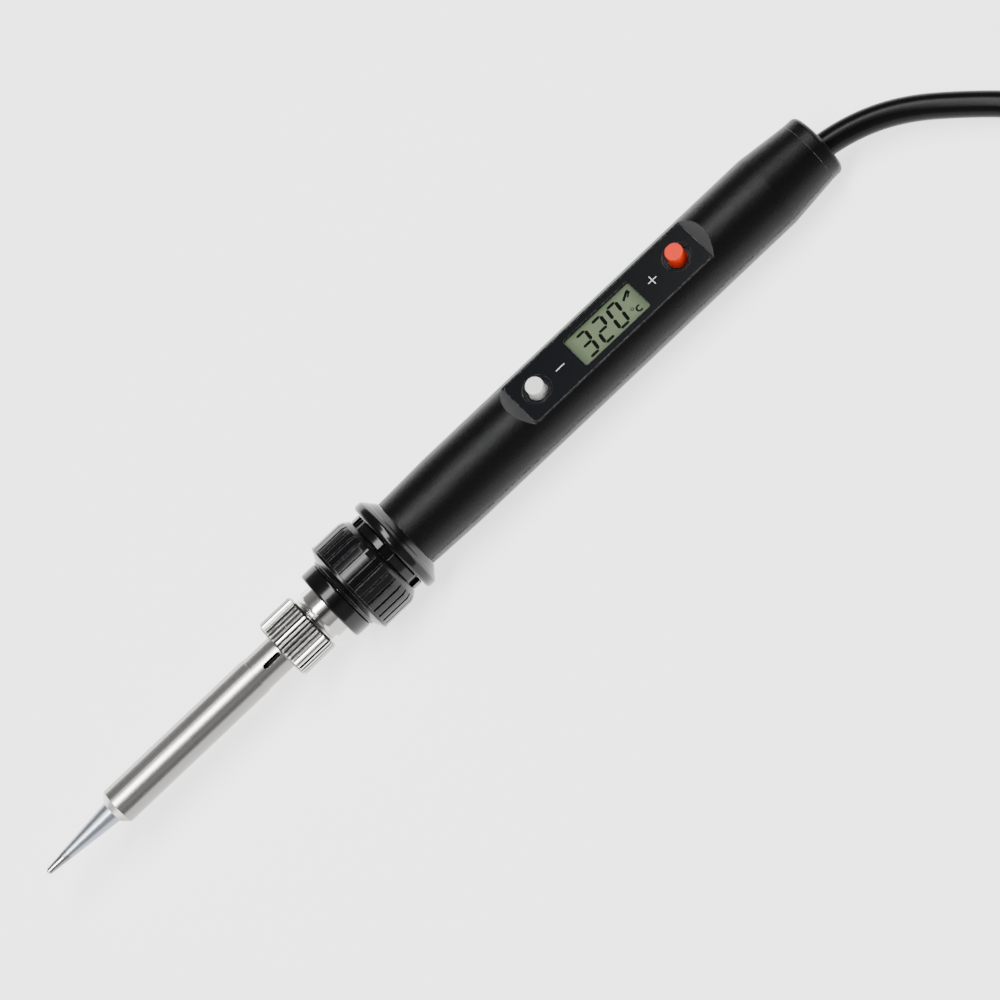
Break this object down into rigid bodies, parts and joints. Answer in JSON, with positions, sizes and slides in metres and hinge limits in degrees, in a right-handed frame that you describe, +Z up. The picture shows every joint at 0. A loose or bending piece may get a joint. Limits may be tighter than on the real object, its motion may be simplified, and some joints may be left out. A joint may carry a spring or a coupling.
{
  "type": "digital temperature-controlled soldering iron",
  "caption": "Mains soldering iron with a conical tip in a steel barrel, knurled nut, ribbed collar, black two-half handle with LCD and two push buttons, and a two-pin corded plug.",
  "frame": {"origin": "on the table under the middle of the iron's length, midway across its width, cord left out", "axes": "+X runs from the soldering tip towards the cord end, +Z is up from the table, and +Y completes the right-handed set; the control panel faces +Z"},
  "size_m": [0.4053, 0.0565, 0.0264],
  "materials": {
    "tip_plating": "satin plated iron, bluish",
    "stainless": "satin turned stainless steel",
    "nickel": "bright nickel plating",
    "ceramic": "unglazed alumina",
    "gloss_black": "smooth moulded black",
    "handle_black": "fine spark-eroded grain",
    "panel_black": "smooth bluish black",
    "lens": "clear acrylic",
    "lcd": "grey-green reflective display",
    "natural_nylon": "natural nylon",
    "strip_rubber": "grey silicone",
    "board_green": "solder-masked glass laminate",
    "chip_black": "moulded epoxy",
    "capacitor_yellow": "glossy film box",
    "can_aluminium": "plain can",
    "zinc_steel": "zinc plated",
    "rubber_black": "matte moulded",
    "lead_sleeving": "woven glass sleeving",
    "core_blue": "core insulation",
    "button_white": "off-white",
    "button_red": "orange-red",
    "cord_black": "smooth black PVC",
    "pin_nickel": "bright nickel plating",
    "sleeve_black": "moulded sleeve"
  },
  "bodies": {
    "handle": {"threaded_neck": "gloss_black", "finger_guard": "gloss_black", "upper_shell": "handle_black", "lower_shell": "handle_black", "control_panel": "panel_black", "display_lens": "lens", "display_cell": "lcd", "display_holder": "natural_nylon", "contact_strips": "strip_rubber", "circuit_board": "board_green", "controller_chip": "chip_black", "power_triac": "chip_black", "film_capacitor": "capacitor_yellow", "can_capacitor": "can_aluminium", "board_fuse": "chip_black", "shell_screws": "zinc_steel", "clamp_screws": "zinc_steel", "rear_cap": "handle_black", "cord_grommet": "rubber_black", "cord_clamp": "natural_nylon", "heater_leads": "lead_sleeving", "mains_leads": "core_blue", "minus_switch": "chip_black", "plus_switch": "chip_black", "power_cord": "cord_black", "cord_tail": "cord_black", "cord_hank": "cord_black", "cord_tie": "rubber_black", "plug_body": "rubber_black", "plug_pins": "pin_nickel", "pin_sleeves": "sleeve_black", "plug_relief": "rubber_black"},
    "minus_key": {"minus_button": "button_white", "minus_plunger": "natural_nylon"},
    "plus_key": {"plus_button": "button_red", "plus_plunger": "natural_nylon"},
    "cartridge": {"threaded_sleeve": "nickel", "stopper_ring": "gloss_black", "heater_element": "ceramic", "heater_collar": "stainless"},
    "collar": {"clamp_collar": "gloss_black"},
    "barrel": {"barrel_tube": "stainless", "soldering_tip": "tip_plating"},
    "nut": {"barrel_nut": "nickel"}
  },
  "joints": [
    {"name": "minus_press", "type": "slide", "parent": "handle", "child": "minus_key", "axis": [-0.0242, 0, -0.9997], "range_m": [0, 0.0005], "stiffness_N_per_m": 800, "springref_m": -0.0005},
    {"name": "plus_press", "type": "slide", "parent": "handle", "child": "plus_key", "axis": [-0.0242, 0, -0.9997], "range_m": [0, 0.0005], "stiffness_N_per_m": 800, "springref_m": -0.0005},
    {"name": "cartridge_slide", "type": "slide", "parent": "handle", "child": "cartridge", "axis": [-0.9997, 0, 0.0242], "range_m": [0, 0.006]},
    {"name": "collar_turn", "type": "hinge", "parent": "cartridge", "child": "collar", "pos_m": [-0.02159, 0, 0.01176], "axis": [-0.9997, 0, 0.0242], "range_deg": [0, 1080]},
    {"name": "barrel_slide", "type": "slide", "parent": "cartridge", "child": "barrel", "axis": [-0.9997, 0, 0.0242], "range_m": [0, 0.00625]},
    {"name": "nut_turn", "type": "hinge", "parent": "barrel", "child": "nut", "pos_m": [-0.03958, 0, 0.01219], "axis": [-0.9997, 0, 0.0242], "range_deg": [0, 1800]}
  ],
  "couplings": [
    {"joint": "collar_turn", "follows": "cartridge_slide", "rad_per_m": 3141.6},
    {"joint": "nut_turn", "follows": "barrel_slide", "rad_per_m": 5026.5}
  ]
}
